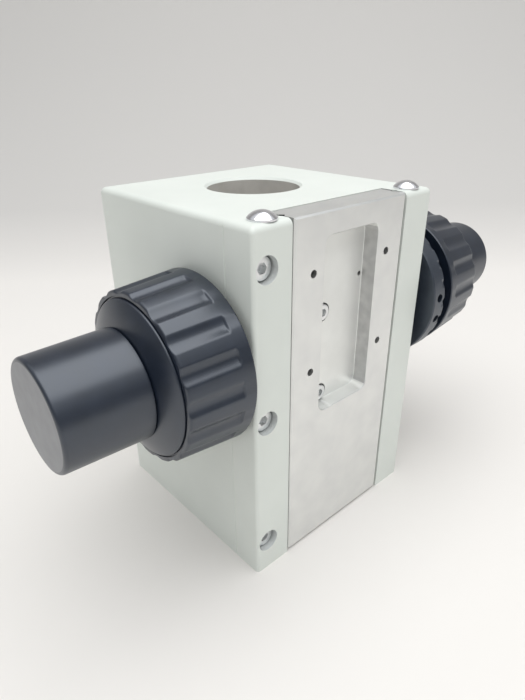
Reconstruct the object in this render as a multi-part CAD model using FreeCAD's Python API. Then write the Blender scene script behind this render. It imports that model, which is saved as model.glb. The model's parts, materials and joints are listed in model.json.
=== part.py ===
import FreeCAD, Part
import math
import os

# Coaxial coarse and fine focus drive block that clamps on a round pole.
# A painted block carries a vertical slide on crossed rollers, and a rack and pinion moves
# the slide. The coarse knobs turn a hollow pinion sleeve, and the fine knobs turn a shaft
# inside it through a two-stage reduction in the left coarse knob.
# Millimetres. The origin is on the pole bore's axis in the bottom face, +Z is up, the slide
# faces -Y and +X is to the right of someone who faces the slide.

# Block
body_width = 80.0
body_depth = 80.0
body_height = 120.0
front_to_bore = 45.0
bore_radius = 16.05
bore_chamfer = 0.8
top_round = 2.0
side_round = 1.2
seam_chamfer = 0.25

# Slide and its two guides
guide_depth = 11.6
guide_width = 15.0
slide_thickness = 10.0
slide_height = 119.2
slide_lift = 0.7
slide_side_gap = 0.8
slide_back_gap = 0.35
slide_chamfer = 0.5
slide_travel = 18.0

# Pocket and holes in the slide's face
pocket_side_wall = 12.7
pocket_height = 59.0
pocket_depth = 5.5
pocket_top_wall = 7.1
pocket_corner_round = 3.0
pocket_floor_round = 0.4
pocket_rim_chamfer = 0.25
face_hole_radius = 1.25
face_hole_inset_x = 8.0
face_hole_spacing_z = 32.0
face_hole_inset_z = 17.1
pin_hole_radius = 0.8
pin_hole_inset_x = 1.3
pin_hole_inset_z = 17.5

# Crossed rollers and their cages
roller_size = 2.0
roller_pitch = 6.0
roller_length_share = 0.95
roller_count = 13
cage_thickness = 0.25
cage_width = 5.0
cage_window_gap = 0.1
cage_stop_radius = 0.75
cage_stop_inset = 4.0
cage_stop_reach = 0.3
cage_stop_length = 3.6

# Guide bar screws: cap heads sunk below the bar's face
bar_screw_radius = 2.0
bar_screw_head_radius = 3.5
bar_screw_head_height = 4.0
bar_screw_length = 10.0
bar_screw_sink = 2.0
bar_counterbore_radius = 4.0
bar_screw_offset = 2.1
bar_screw_inset_z = 12.0
bar_screw_hex = 3.0

# Dome-headed studs in the tops of the guides
end_screw_radius = 2.0
end_screw_length = 7.0
end_screw_head_radius = 4.2
end_screw_head_height = 2.5
end_screw_rim = 0.5
end_screw_inset_x = 7.9

# Rack and the screws that hold it
gear_module = 0.5
addendum_share = 0.8
dedendum_share = 1.0
gear_backlash = 0.05
rack_width = 8.0
rack_middle_x = -6.4
rack_channel_gap = 1.0
rack_end_margin = 2.0
rack_shift_teeth = 2
rack_screw_radius = 1.5
rack_screw_head_radius = 2.75
rack_screw_head_height = 3.0
rack_screw_length = 8.0
rack_screw_clearance = 0.2
rack_screw_sink = 2.5
rack_counterbore_radius = 3.25
rack_screw_drop = 20.4
rack_screw_spacing = 29.5
rack_screw_hex = 2.5

# Knob axis, sleeve and shaft
knob_axis_depth = 23.0
knob_axis_z = 77.2
pinion_teeth = 16
pinion_length = 10.0
fine_shaft_radius = 1.8
sleeve_left_gap = 0.8
sleeve_right_inset = 2.8
sleeve_bore_gap = 0.5
clip_groove_depth = 0.5
clip_thickness = 0.8
clip_radius = 6.5
clip_opening = 5.0
clip_inset = 0.2

# Bearing bushes
bush_radius = 7.0
bush_length = 12.0
left_flange_radius = 11.0
left_flange_thickness = 1.4
right_flange_radius = 16.0
right_flange_thickness = 3.6
neck_radius = 10.0
neck_length = 7.4
flange_screw_radius = 1.5
flange_screw_head_radius = 2.8
flange_screw_length = 10.0
flange_screw_circle = 13.0
flange_screw_count = 3

# Tension ring, friction washer and disc springs
tension_ring_radius = 27.8
tension_ring_width = 7.0
tension_ring_gap = 0.5
tension_ring_chamfer = 0.4
scallop_count = 24
scallop_radius = 3.0
scallop_depth = 0.6
scallop_length = 1.8
ring_recess_inner = 15.0
ring_recess_outer = 23.5
ring_recess_depth = 3.0
spanner_hole_radius = 1.6
spanner_hole_depth = 5.0
spanner_hole_count = 4
spanner_hole_angle = 175.4
lock_screw_angle = 192.7
lock_screw_radius = 1.5
lock_screw_length = 6.0
lock_screw_hex = 1.5
washer_radius = 13.0
washer_thickness = 1.1
disc_spring_radius = 12.5
disc_spring_thickness = 0.8
disc_spring_rise = 1.2
stack_gap = 0.1

# Coarse knobs: fluted rings, each closed by a conical cover
left_knob_gap = 2.5
right_knob_gap = 16.8
coarse_rim_radius = 27.3
coarse_end_radius = 25.6
coarse_width = 21.2
coarse_rim_band = 3.6
coarse_end_round = 0.7
coarse_rim_round = 0.5
coarse_bore_radius = 22.3
cover_seat_radius = 24.0
cover_seat_depth = 4.0
cover_groove_depth = 1.2
cover_rim_radius = 23.2
cover_rim_round = 0.4
cover_cone_radius = 16.4
cover_lip_rise = 0.5
cover_rise = 3.8
cup_depth = 9.5
flute_count = 18
flute_depth = 0.85
flute_radius = 3.4
flute_angle = 177.5
hub_radius = 8.5
hub_set_screw_radius = 1.5
hub_set_screw_inset = 5.0
hub_set_screw_length = 3.6

# Fine knobs
fine_knob_gap = 0.3
fine_knob_length = 24.8
fine_root_radius = 16.5
fine_end_radius = 15.9
fine_end_round = 1.8
fine_root_round = 0.3
fine_bore_depth = 18.0
fine_set_screw_radius = 1.5
fine_set_screw_length = 6.0
fine_set_screw_inset = 8.0
fine_set_screw_hex = 1.5

# Reduction gears in the left coarse knob
small_gear_teeth = 12
large_gear_teeth = 36
gear_width = 3.0
gear_hub_radius = 2.3
sleeve_gear_hub_radius = 6.0
sleeve_gear_hub_length = 1.0
sleeve_gear_end_gap = 0.6
stage_gap = 0.6
stud_radius = 1.2
stud_head_radius = 2.0
stud_head_height = 0.6
stud_seat_depth = 6.0
cover_bush_radius = 3.2
cover_bush_length = 14.0

# Pole clamp: two set screws with soft pads, through the back wall
clamp_screw_radius = 3.0
clamp_screw_length = 11.0
clamp_screw_hex = 3.0
clamp_pad_radius = 2.4
clamp_pad_back_off = 0.2
clamp_pad_length = 4.0
clamp_screw_spacing = 50.0
clamp_screw_middle_z = 60.0

# Fits and cutting values that serve every piece
overrun = 1.0
running_gap = 0.03
seat_gap = 0.02
thread_gap = 0.05
socket_depth_share = 0.5
tolerance = 0.0001
hex_corners = 6
flank_steps = 3
pressure_angle = math.radians(25)
quarter_turn = math.radians(90)
half_turn = math.radians(180)
full_turn = math.radians(360)

# Planes and centres that follow from the sizes above
front_y = -front_to_bore
back_y = body_depth - front_to_bore
side_x = body_width / 2
slide_back_y = front_y + slide_thickness
land_y = slide_back_y + slide_back_gap
seam_y = front_y + guide_depth
slide_edge_x = side_x - guide_width
guide_face_x = slide_edge_x + slide_side_gap
guide_middle_x = (guide_face_x + side_x) / 2
end_screw_x = side_x - end_screw_inset_x
roller_x = slide_edge_x + slide_side_gap / 2
roller_y = front_y + slide_thickness / 2
slide_top_z = slide_lift + slide_height
pocket_half_width = slide_edge_x - pocket_side_wall
pocket_top_z = slide_top_z - pocket_top_wall
axis_y = front_y + knob_axis_depth
axis_z = knob_axis_z

addendum = gear_module * addendum_share
dedendum = gear_module * dedendum_share
tooth_pitch = math.pi * gear_module
pinion_pitch_radius = gear_module * pinion_teeth / 2
sleeve_radius = pinion_pitch_radius + addendum
sleeve_bore_radius = fine_shaft_radius + running_gap
rack_pitch_y = axis_y - pinion_pitch_radius
rack_reach_teeth = math.ceil((slide_travel + rack_end_margin) / tooth_pitch)
rack_teeth = 2 * (rack_reach_teeth + rack_shift_teeth) + 1
rack_half_length = rack_teeth * tooth_pitch / 2
rack_middle_z = axis_z - rack_shift_teeth * tooth_pitch

left_rim_x = -(side_x + left_knob_gap)
right_rim_x = side_x + right_knob_gap
left_cup_x = left_rim_x - cup_depth
right_cup_x = right_rim_x + cup_depth
gear_centres = gear_module * (small_gear_teeth + large_gear_teeth) / 2
fine_gear_x = left_cup_x + sleeve_gear_end_gap
sleeve_gear_x = fine_gear_x + gear_width + 2 * stage_gap
ring_inner_x = side_x + right_flange_thickness + tension_ring_gap
ring_outer_x = ring_inner_x + tension_ring_width
sleeve_left_x = fine_gear_x + gear_width + sleeve_left_gap
sleeve_right_x = right_rim_x + coarse_width + cover_rise - sleeve_right_inset
hub_screw_angle = math.radians(flute_angle) + half_turn / flute_count + half_turn


def vec(x, y, z):
    return FreeCAD.Vector(x, y, z)


def block(x0, x1, y0, y1, z0, z1):
    return Part.makeBox(x1 - x0, y1 - y0, z1 - z0, vec(x0, y0, z0))


def rod(radius, start, end):
    # A cylinder from one point to another.
    return Part.makeCylinder(radius, (end - start).Length, start, end - start)


def axle(radius, x0, x1):
    # A cylinder on the knob axis.
    return rod(radius, vec(x0, axis_y, axis_z), vec(x1, axis_y, axis_z))


def tube(outer, inner, x0, x1):
    wall = axle(outer, x0, x1)
    return wall.cut(axle(inner, min(x0, x1) - overrun, max(x0, x1) + overrun))


def around(radius, angle, x):
    # A point at a radius and an angle round the knob axis; angle zero points to the back.
    return vec(x, axis_y + radius * math.cos(angle), axis_z + radius * math.sin(angle))


def prism(points, along):
    return Part.Face(Part.makePolygon(points + [points[0]])).extrude(along)


def rounded_wire(corners):
    # A closed wire through the corners, with a tangent arc at each corner that has a radius.
    spans = []
    for index, (point, radius) in enumerate(corners):
        before = corners[index - 1][0] - point
        after = corners[(index + 1) % len(corners)][0] - point
        before.normalize()
        after.normalize()
        if radius == 0:
            spans.append((point, point, point))
            continue
        half = before.getAngle(after) / 2
        reach = radius / math.tan(half)
        inward = before + after
        inward.normalize()
        middle = point + inward * (radius / math.sin(half) - radius)
        spans.append((point + before * reach, middle, point + after * reach))
    edges = []
    for index, (start, middle, end) in enumerate(spans):
        if corners[index][1] > 0:
            edges.append(Part.Arc(start, middle, end).toShape())
        following = spans[(index + 1) % len(spans)][0]
        if not following.isEqual(end, tolerance):
            edges.append(Part.makeLine(end, following))
    return Part.Wire(edges)


def turned(profile):
    # A solid of revolution on the knob axis from (x, radius, rounding) corners.
    corners = [(vec(x, axis_y + radius, axis_z), rounding) for x, radius, rounding in profile]
    face = Part.Face(rounded_wire(corners))
    return face.revolve(vec(0, axis_y, axis_z), vec(1, 0, 0), math.degrees(full_turn))


def edges_where(shape, test):
    return [edge for edge in shape.Edges if test(edge.BoundBox)]


def level(low, high, value):
    # True when a span of a bounding box is flat at the value.
    return abs(low - value) < running_gap and abs(high - value) < running_gap


def hex_socket(centre, inward, across, depth):
    # A hexagonal hole, sunk from the centre along a direction that is parallel to an axis.
    side = vec(0, 0, 1) if abs(inward.z) < abs(inward.x) + abs(inward.y) else vec(1, 0, 0)
    other = inward.cross(side)
    other.normalize()
    radius = across / math.sqrt(3)
    points = []
    for index in range(hex_corners):
        turn = full_turn * index / hex_corners
        points.append(centre + side * (radius * math.cos(turn)) + other * (radius * math.sin(turn)))
    return prism(points, inward * depth)


def cap_screw(seat, inward, radius, length, head_radius, head_height, across):
    # A socket head screw whose head rests on the seat and whose shank goes inward.
    top = seat - inward * head_height
    head = rod(head_radius, top, seat)
    socket = hex_socket(top, inward, across, head_height * socket_depth_share)
    return head.fuse(rod(radius, seat, seat + inward * length)).cut(socket).removeSplitter()


def set_screw(mouth, inward, radius, length, across):
    stem = rod(radius, mouth, mouth + inward * length)
    return stem.cut(hex_socket(mouth, inward, across, length * socket_depth_share))


def involute(ratio):
    # The involute function of the pressure angle whose cosine is the ratio.
    angle = math.acos(min(ratio, math.cos(0)))
    return math.tan(angle) - angle


def gear(teeth, tooth_angle, x0, x1, centre_y, centre_z):
    # A spur gear with one tooth centred on the tooth angle.
    pitch_radius = gear_module * teeth / 2
    base_radius = pitch_radius * math.cos(pressure_angle)
    root_radius = pitch_radius - dedendum
    tip_radius = pitch_radius + addendum
    start_radius = max(base_radius, root_radius)
    at_pitch = (tooth_pitch / 2 - gear_backlash) / (2 * pitch_radius)
    spread = at_pitch + involute(base_radius / pitch_radius)
    flank = []
    if root_radius < base_radius:
        flank.append((root_radius, spread))
    for step in range(flank_steps):
        radius = start_radius + (tip_radius - start_radius) * step / (flank_steps - 1)
        flank.append((radius, spread - involute(base_radius / radius)))
    points = []
    for tooth in range(teeth):
        middle = tooth_angle + full_turn * tooth / teeth
        rising = [(radius, middle - half) for radius, half in flank]
        falling = [(radius, middle + half) for radius, half in reversed(flank)]
        for radius, angle in rising + falling:
            y = centre_y + radius * math.cos(angle)
            z = centre_z + radius * math.sin(angle)
            points.append(vec(x0, y, z))
    return prism(points, vec(x1 - x0, 0, 0))


def both_sides(make):
    return [make(-1), make(1)]


# The square channel for the crossed rollers, cut half from the guide and half from the slide
def roller_channel(side):
    reach = (roller_size / 2 + seat_gap) * math.sqrt(2)
    x = side * roller_x
    low = -overrun
    points = [
        vec(x - reach, roller_y, low),
        vec(x, roller_y - reach, low),
        vec(x + reach, roller_y, low),
        vec(x, roller_y + reach, low),
    ]
    return prism(points, vec(0, 0, body_height + 2 * overrun))


def guide_end_hole(side):
    top = vec(side * end_screw_x, roller_y, body_height + overrun)
    bottom = vec(side * end_screw_x, roller_y, body_height - end_screw_length - thread_gap)
    return rod(end_screw_radius + thread_gap, top, bottom)


def cage_stop_places(side):
    low = cage_stop_inset
    high = body_height - cage_stop_inset
    start = side * (roller_x - cage_stop_reach)
    end = side * (guide_face_x + cage_stop_length)
    return [(vec(start, roller_y, z), vec(end, roller_y, z)) for z in (low, high)]


def cage_stop_holes(side):
    return [rod(cage_stop_radius, start, end) for start, end in cage_stop_places(side)]


def bar_screw_seats():
    x = -guide_middle_x - bar_screw_offset
    y = front_y + bar_screw_sink + bar_screw_head_height
    heights = (bar_screw_inset_z, body_height / 2, body_height - bar_screw_inset_z)
    return [vec(x, y, z) for z in heights]


def bar_screw_holes():
    inward = vec(0, 1, 0)
    holes = []
    for seat in bar_screw_seats():
        mouth = vec(seat.x, front_y - overrun, seat.z)
        holes.append(rod(bar_counterbore_radius, mouth, seat))
        end = seat + inward * (bar_screw_length + thread_gap)
        holes.append(rod(bar_screw_radius + thread_gap, seat, end))
    return holes


def clamp_places():
    heights = (-clamp_screw_spacing / 2, clamp_screw_spacing / 2)
    return [vec(0, 0, clamp_screw_middle_z + height) for height in heights]


def flange_screw_angles():
    return [quarter_turn + full_turn * index / flange_screw_count for index in range(flange_screw_count)]


def round_outer_edges(shape):
    # Rounds the standing outer edges, then the outer edges of the top face.
    def standing(box):
        outer_x = level(box.XMin, box.XMax, -side_x) or level(box.XMin, box.XMax, side_x)
        outer_y = level(box.YMin, box.YMax, front_y) or level(box.YMin, box.YMax, back_y)
        return outer_x and outer_y and box.ZLength > body_height / 2

    def top(box):
        if not level(box.ZMin, box.ZMax, body_height):
            return False
        at_side = box.XMax < -side_x + 2 * side_round or box.XMin > side_x - 2 * side_round
        at_front = box.YMax < front_y + 2 * side_round
        at_back = box.YMin > back_y - 2 * side_round
        return at_side or at_front or at_back

    shape = shape.makeFillet(side_round, edges_where(shape, standing))
    return shape.makeFillet(top_round, edges_where(shape, top))


def seam_edge_cut(y, x):
    # A small triangular cut along a standing seam edge.
    points = [
        vec(x - seam_chamfer, y, -overrun),
        vec(x, y - seam_chamfer, -overrun),
        vec(x + seam_chamfer, y, -overrun),
        vec(x, y + seam_chamfer, -overrun),
    ]
    return prism(points, vec(0, 0, body_height + 2 * overrun))


def make_housing():
    # The block, with the right guide in one piece with it and a land behind the slide.
    shape = block(-side_x, side_x, seam_y, back_y, 0, body_height)
    shape = shape.fuse(block(guide_face_x, side_x, front_y, seam_y, 0, body_height))
    shape = shape.fuse(block(-guide_face_x, guide_face_x, land_y, seam_y, 0, body_height))
    shape = round_outer_edges(shape.removeSplitter())
    bore = rod(bore_radius, vec(0, 0, -overrun), vec(0, 0, body_height + overrun))
    wide = bore_radius + bore_chamfer
    top_cone = Part.makeCone(bore_radius, wide, bore_chamfer, vec(0, 0, body_height - bore_chamfer))
    channel = block(
        rack_middle_x - rack_width / 2 - rack_channel_gap,
        rack_middle_x + rack_width / 2 + rack_channel_gap,
        slide_back_y - overrun,
        rack_pitch_y + addendum + rack_channel_gap / 2,
        rack_middle_z - rack_half_length - slide_travel - rack_channel_gap,
        rack_middle_z + rack_half_length + slide_travel + rack_channel_gap,
    )
    cuts = [bore, top_cone, channel, roller_channel(1), guide_end_hole(1)]
    cuts.append(axle(sleeve_radius + sleeve_bore_gap, -side_x, side_x))
    cuts.append(axle(bush_radius, -side_x - overrun, -side_x + bush_length))
    cuts.append(axle(bush_radius, side_x + overrun, side_x - bush_length))
    cuts.append(seam_edge_cut(seam_y, -side_x))
    cuts += cage_stop_holes(1)
    cuts += bar_screw_holes()
    for angle in flange_screw_angles():
        deep = side_x + right_flange_thickness - flange_screw_length - thread_gap
        mouth = around(flange_screw_circle, angle, side_x + overrun)
        end = around(flange_screw_circle, angle, deep)
        cuts.append(rod(flange_screw_radius + thread_gap, mouth, end))
    for place in clamp_places():
        mouth = vec(place.x, back_y + overrun, place.z)
        shoulder = vec(place.x, bore_radius + clamp_pad_back_off + clamp_pad_length, place.z)
        cuts.append(rod(clamp_screw_radius + thread_gap, mouth, shoulder))
        cuts.append(rod(clamp_pad_radius + thread_gap, shoulder, vec(place.x, 0, place.z)))
    return shape.cut(cuts)


def make_left_guide_bar():
    shape = block(-side_x, -guide_face_x, front_y, seam_y, 0, body_height)

    def standing(box):
        at_corner = level(box.XMin, box.XMax, -side_x) and level(box.YMin, box.YMax, front_y)
        return at_corner and box.ZLength > body_height / 2

    def top(box):
        if not level(box.ZMin, box.ZMax, body_height):
            return False
        return box.XMax < -side_x + 2 * side_round or box.YMax < front_y + 2 * side_round

    shape = shape.makeFillet(side_round, edges_where(shape, standing))
    shape = shape.makeFillet(top_round, edges_where(shape, top))
    cuts = [roller_channel(-1), guide_end_hole(-1), seam_edge_cut(seam_y, -side_x)]
    cuts += cage_stop_holes(-1)
    cuts += bar_screw_holes()
    return shape.cut(cuts)


def make_guide_bar_screws():
    screws = []
    for seat in bar_screw_seats():
        screws.append(cap_screw(
            seat, vec(0, 1, 0), bar_screw_radius, bar_screw_length,
            bar_screw_head_radius, bar_screw_head_height, bar_screw_hex))
    return Part.makeCompound(screws)


def make_end_screw(side):
    # A dome on a short straight rim, over a plain shank.
    seat = vec(side * end_screw_x, roller_y, body_height)
    rise = end_screw_head_height - end_screw_rim
    dome_radius = (end_screw_head_radius ** 2 + rise ** 2) / (2 * rise)
    centre = seat + vec(0, 0, end_screw_head_height - dome_radius)
    blank = rod(end_screw_head_radius, seat, seat + vec(0, 0, end_screw_head_height))
    head = blank.common(Part.makeSphere(dome_radius, centre))
    shank = rod(end_screw_radius, seat, seat - vec(0, 0, end_screw_length))
    return head.fuse(shank)


def make_cage_stop_pins():
    pins = []
    for side in (-1, 1):
        pins += [rod(cage_stop_radius, start, end) for start, end in cage_stop_places(side)]
    return Part.makeCompound(pins)


def pocket_cutter():
    low = pocket_top_z - pocket_height
    floor_y = front_y + pocket_depth
    corners = [
        (vec(-pocket_half_width, floor_y, low), pocket_corner_round),
        (vec(pocket_half_width, floor_y, low), pocket_corner_round),
        (vec(pocket_half_width, floor_y, pocket_top_z), pocket_corner_round),
        (vec(-pocket_half_width, floor_y, pocket_top_z), pocket_corner_round),
    ]
    shape = Part.Face(rounded_wire(corners)).extrude(vec(0, -pocket_depth - overrun, 0))
    floor_edges = edges_where(shape, lambda box: level(box.YMin, box.YMax, floor_y))
    return shape.makeFillet(pocket_floor_round, floor_edges)


def at_pocket_rim(box):
    in_face = level(box.YMin, box.YMax, front_y)
    in_width = max(-box.XMin, box.XMax) < pocket_half_width + running_gap
    return in_face and in_width and box.ZMax < pocket_top_z + running_gap


def rack_screw_seats():
    y = front_y + pocket_depth + rack_screw_sink
    low = axis_z - rack_screw_drop
    heights = (low, low + rack_screw_spacing)
    return [vec(rack_middle_x, y, z) for z in heights]


def make_slide_plate():
    shape = block(-slide_edge_x, slide_edge_x, front_y, slide_back_y, slide_lift, slide_top_z)
    front_edges = edges_where(shape, lambda box: level(box.YMin, box.YMax, front_y))
    shape = shape.makeChamfer(slide_chamfer, front_edges).cut(pocket_cutter())
    rim_edges = edges_where(shape, at_pocket_rim)
    shape = shape.makeChamfer(pocket_rim_chamfer, rim_edges)
    cuts = [roller_channel(-1), roller_channel(1)]
    hole_x = slide_edge_x - face_hole_inset_x
    hole_z = slide_top_z - face_hole_inset_z
    for x in (-hole_x, hole_x):
        for z in (hole_z, hole_z - face_hole_spacing_z):
            cuts.append(rod(face_hole_radius, vec(x, front_y - overrun, z), vec(x, land_y, z)))
    pin_x = pocket_half_width - pin_hole_inset_x
    pin_z = pocket_top_z - pin_hole_inset_z
    pin_mouth = vec(pin_x, front_y + pocket_depth - overrun, pin_z)
    cuts.append(rod(pin_hole_radius, pin_mouth, vec(pin_x, land_y, pin_z)))
    for seat in rack_screw_seats():
        mouth = vec(seat.x, front_y, seat.z)
        cuts.append(rod(rack_counterbore_radius, mouth, seat))
        cuts.append(rod(rack_screw_radius + rack_screw_clearance, seat, vec(seat.x, land_y, seat.z)))
    return shape.cut(cuts)


def make_rack():
    # Straight teeth towards the pinion, with one tooth centred on the knob axis at rest.
    x0 = rack_middle_x - rack_width / 2
    low = rack_middle_z - rack_half_length
    high = rack_middle_z + rack_half_length
    lean = math.tan(pressure_angle)
    at_pitch = (tooth_pitch / 2 - gear_backlash) / 2
    points = [vec(x0, slide_back_y, low), vec(x0, rack_pitch_y - dedendum, low)]
    for tooth in range(rack_teeth):
        middle = low + tooth_pitch * tooth + tooth_pitch / 2
        points.append(vec(x0, rack_pitch_y - dedendum, middle - at_pitch - dedendum * lean))
        points.append(vec(x0, rack_pitch_y + addendum, middle - at_pitch + addendum * lean))
        points.append(vec(x0, rack_pitch_y + addendum, middle + at_pitch - addendum * lean))
        points.append(vec(x0, rack_pitch_y - dedendum, middle + at_pitch + dedendum * lean))
    points += [vec(x0, rack_pitch_y - dedendum, high), vec(x0, slide_back_y, high)]
    shape = prism(points, vec(rack_width, 0, 0))
    holes = []
    for seat in rack_screw_seats():
        end = seat + vec(0, rack_screw_length + thread_gap, 0)
        holes.append(rod(rack_screw_radius + thread_gap, seat, end))
    return shape.cut(holes)


def make_rack_screws():
    screws = []
    for seat in rack_screw_seats():
        screws.append(cap_screw(
            seat, vec(0, 1, 0), rack_screw_radius, rack_screw_length,
            rack_screw_head_radius, rack_screw_head_height, rack_screw_hex))
    return Part.makeCompound(screws)


def roller_heights():
    middle = body_height / 2
    first = middle - roller_pitch * (roller_count - 1) / 2
    return [first + roller_pitch * index for index in range(roller_count)]


def make_rollers(side):
    # Each roller lies across the channel, square to the one before it.
    rollers = []
    half = roller_size * roller_length_share / 2
    for index, z in enumerate(roller_heights()):
        lean = 1 if index % 2 == 0 else -1
        along = vec(1, lean, 0)
        along.normalize()
        centre = vec(side * roller_x, roller_y, z)
        rollers.append(rod(roller_size / 2, centre - along * half, centre + along * half))
    return Part.makeCompound(rollers)


def make_cage(side):
    x = side * roller_x
    half = cage_thickness / 2
    heights = roller_heights()
    low = heights[0] - roller_pitch / 2
    high = heights[-1] + roller_pitch / 2
    half_width = cage_width / 2
    shape = block(x - half, x + half, roller_y - half_width, roller_y + half_width, low, high)
    reach = roller_size * math.sqrt(2) / 2 + cage_window_gap
    rise = roller_size / 2 + cage_window_gap
    windows = []
    for z in heights:
        windows.append(block(
            x - overrun, x + overrun, roller_y - reach, roller_y + reach, z - rise, z + rise))
    return shape.cut(windows)


def make_left_bush():
    wall = axle(bush_radius, -side_x, -side_x + bush_length)
    flange = axle(left_flange_radius, -side_x - left_flange_thickness, -side_x)
    bore = axle(sleeve_radius + running_gap, -body_width, body_width)
    return wall.fuse(flange).cut(bore)


def make_right_bush():
    face_x = side_x + right_flange_thickness
    wall = axle(bush_radius, side_x - bush_length, side_x)
    flange = axle(right_flange_radius, side_x, face_x)
    neck = axle(neck_radius, face_x, face_x + neck_length)
    cuts = [axle(sleeve_radius + running_gap, -body_width, body_width)]
    for angle in flange_screw_angles():
        start = around(flange_screw_circle, angle, side_x - overrun)
        end = around(flange_screw_circle, angle, face_x + overrun)
        cuts.append(rod(flange_screw_radius + thread_gap, start, end))
        cuts.append(countersunk_head(angle))
    return wall.fuse([flange, neck]).cut(cuts)


def countersunk_head(angle):
    # The cone of a countersunk head, flush with the flange's face.
    face_x = side_x + right_flange_thickness
    height = flange_screw_head_radius - flange_screw_radius
    tip = around(flange_screw_circle, angle, face_x - height)
    return Part.makeCone(flange_screw_radius, flange_screw_head_radius, height, tip, vec(1, 0, 0))


def make_flange_screws():
    screws = []
    face_x = side_x + right_flange_thickness
    for angle in flange_screw_angles():
        start = around(flange_screw_circle, angle, face_x - flange_screw_length)
        end = around(flange_screw_circle, angle, face_x)
        screw = rod(flange_screw_radius, start, end).fuse(countersunk_head(angle))
        depth = (flange_screw_head_radius - flange_screw_radius) * socket_depth_share
        socket = hex_socket(end, vec(-1, 0, 0), flange_screw_radius, depth)
        screws.append(screw.cut(socket))
    return Part.makeCompound(screws)


def make_tension_ring():
    corners = [
        (ring_inner_x, neck_radius + thread_gap, 0),
        (ring_outer_x, neck_radius + thread_gap, 0),
        (ring_outer_x, ring_recess_inner, 0),
        (ring_outer_x - ring_recess_depth, ring_recess_inner, 0),
        (ring_outer_x - ring_recess_depth, ring_recess_outer, 0),
        (ring_outer_x, ring_recess_outer, 0),
        (ring_outer_x, tension_ring_radius - tension_ring_chamfer, 0),
        (ring_outer_x - tension_ring_chamfer, tension_ring_radius, 0),
        (ring_inner_x + tension_ring_chamfer, tension_ring_radius, 0),
        (ring_inner_x, tension_ring_radius - tension_ring_chamfer, 0),
    ]
    cuts = []
    centre = tension_ring_radius - scallop_depth + scallop_radius
    for index in range(scallop_count):
        angle = full_turn * index / scallop_count
        start = around(centre, angle, ring_outer_x - scallop_length)
        cuts.append(rod(scallop_radius, start, around(centre, angle, ring_outer_x + overrun)))
    middle_x = (ring_inner_x + ring_outer_x) / 2
    outer = tension_ring_radius + overrun
    for index in range(spanner_hole_count):
        angle = math.radians(spanner_hole_angle) + full_turn * index / spanner_hole_count
        floor = around(tension_ring_radius - spanner_hole_depth, angle, middle_x)
        cuts.append(rod(spanner_hole_radius, around(outer, angle, middle_x), floor))
    angle = math.radians(lock_screw_angle)
    floor = around(neck_radius, angle, middle_x)
    cuts.append(rod(lock_screw_radius + thread_gap, around(outer, angle, middle_x), floor))
    return turned(corners).cut(cuts)


def make_ring_lock_screw():
    angle = math.radians(lock_screw_angle)
    middle_x = (ring_inner_x + ring_outer_x) / 2
    mouth = around(neck_radius + thread_gap + lock_screw_length, angle, middle_x)
    tip = around(neck_radius + thread_gap, angle, middle_x)
    inward = tip - mouth
    inward.normalize()
    return set_screw(mouth, inward, lock_screw_radius, lock_screw_length, lock_screw_hex)


def spring_disc(flat_x, rise):
    # A conical disc whose inner edge starts at the flat x and whose outer edge lies a rise away.
    inner = sleeve_radius + thread_gap + stack_gap
    thick = disc_spring_thickness if rise > 0 else -disc_spring_thickness
    corners = [
        (flat_x, inner, 0),
        (flat_x + rise, disc_spring_radius, 0),
        (flat_x + rise + thick, disc_spring_radius, 0),
        (flat_x + thick, inner, 0),
    ]
    return turned(corners)


def spring_ends():
    # The x of the spring pair's two inner edges, from the tension ring outwards.
    start = ring_outer_x + 2 * stack_gap + washer_thickness
    length = 2 * (disc_spring_thickness + disc_spring_rise) + stack_gap
    return start, start + length


def make_tension_springs():
    start, end = spring_ends()
    return Part.makeCompound([spring_disc(start, disc_spring_rise), spring_disc(end, -disc_spring_rise)])


def make_friction_washer():
    start = ring_outer_x + stack_gap
    inner = sleeve_radius + thread_gap
    return tube(washer_radius, inner, start, start + washer_thickness)


def make_thrust_washer():
    start = spring_ends()[1] + stack_gap
    inner = sleeve_radius + seat_gap
    return tube(washer_radius, inner, start, start + washer_thickness)


def make_coarse_sleeve():
    # A hollow shaft with the rack pinion cut in its middle.
    tooth_angle = half_turn - half_turn / pinion_teeth
    start = rack_middle_x - pinion_length / 2
    end = rack_middle_x + pinion_length / 2
    teeth = gear(pinion_teeth, tooth_angle, start, end, axis_y, axis_z)
    left = axle(sleeve_radius, sleeve_left_x, start)
    right = axle(sleeve_radius, end, sleeve_right_x)
    clip_x = -(side_x + left_flange_thickness + clip_inset)
    groove = tube(sleeve_radius + overrun, sleeve_radius - clip_groove_depth, clip_x - clip_thickness, clip_x)
    bore = axle(sleeve_bore_radius, sleeve_left_x - overrun, sleeve_right_x + overrun)
    return left.fuse([teeth, right]).cut([bore, groove])


def make_sleeve_clip():
    # An open spring ring in the sleeve's groove, against the left flange.
    clip_x = -(side_x + left_flange_thickness + clip_inset)
    inner = sleeve_radius - clip_groove_depth + seat_gap
    thickness = clip_thickness - 2 * seat_gap
    ring = tube(clip_radius, inner, clip_x - seat_gap - thickness, clip_x - seat_gap)
    mouth = block(
        clip_x - clip_thickness - overrun, clip_x + overrun,
        axis_y, axis_y + clip_radius + overrun,
        axis_z - clip_opening / 2, axis_z + clip_opening / 2)
    return ring.cut(mouth)


def flute_cutters(rim_x, side):
    # Round-bottomed flutes that start beyond the plain rim band and follow the ring's taper.
    fall = (coarse_rim_radius - coarse_end_radius) / coarse_width
    reach = coarse_width + overrun
    centre = coarse_rim_radius - flute_depth + flute_radius
    cutters = []
    for index in range(flute_count):
        angle = math.radians(flute_angle) + full_turn * index / flute_count
        start = around(centre - fall * coarse_rim_band, angle, rim_x + side * coarse_rim_band)
        end = around(centre - fall * reach, angle, rim_x + side * reach)
        cutters.append(rod(flute_radius, start, end))
    return cutters


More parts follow.
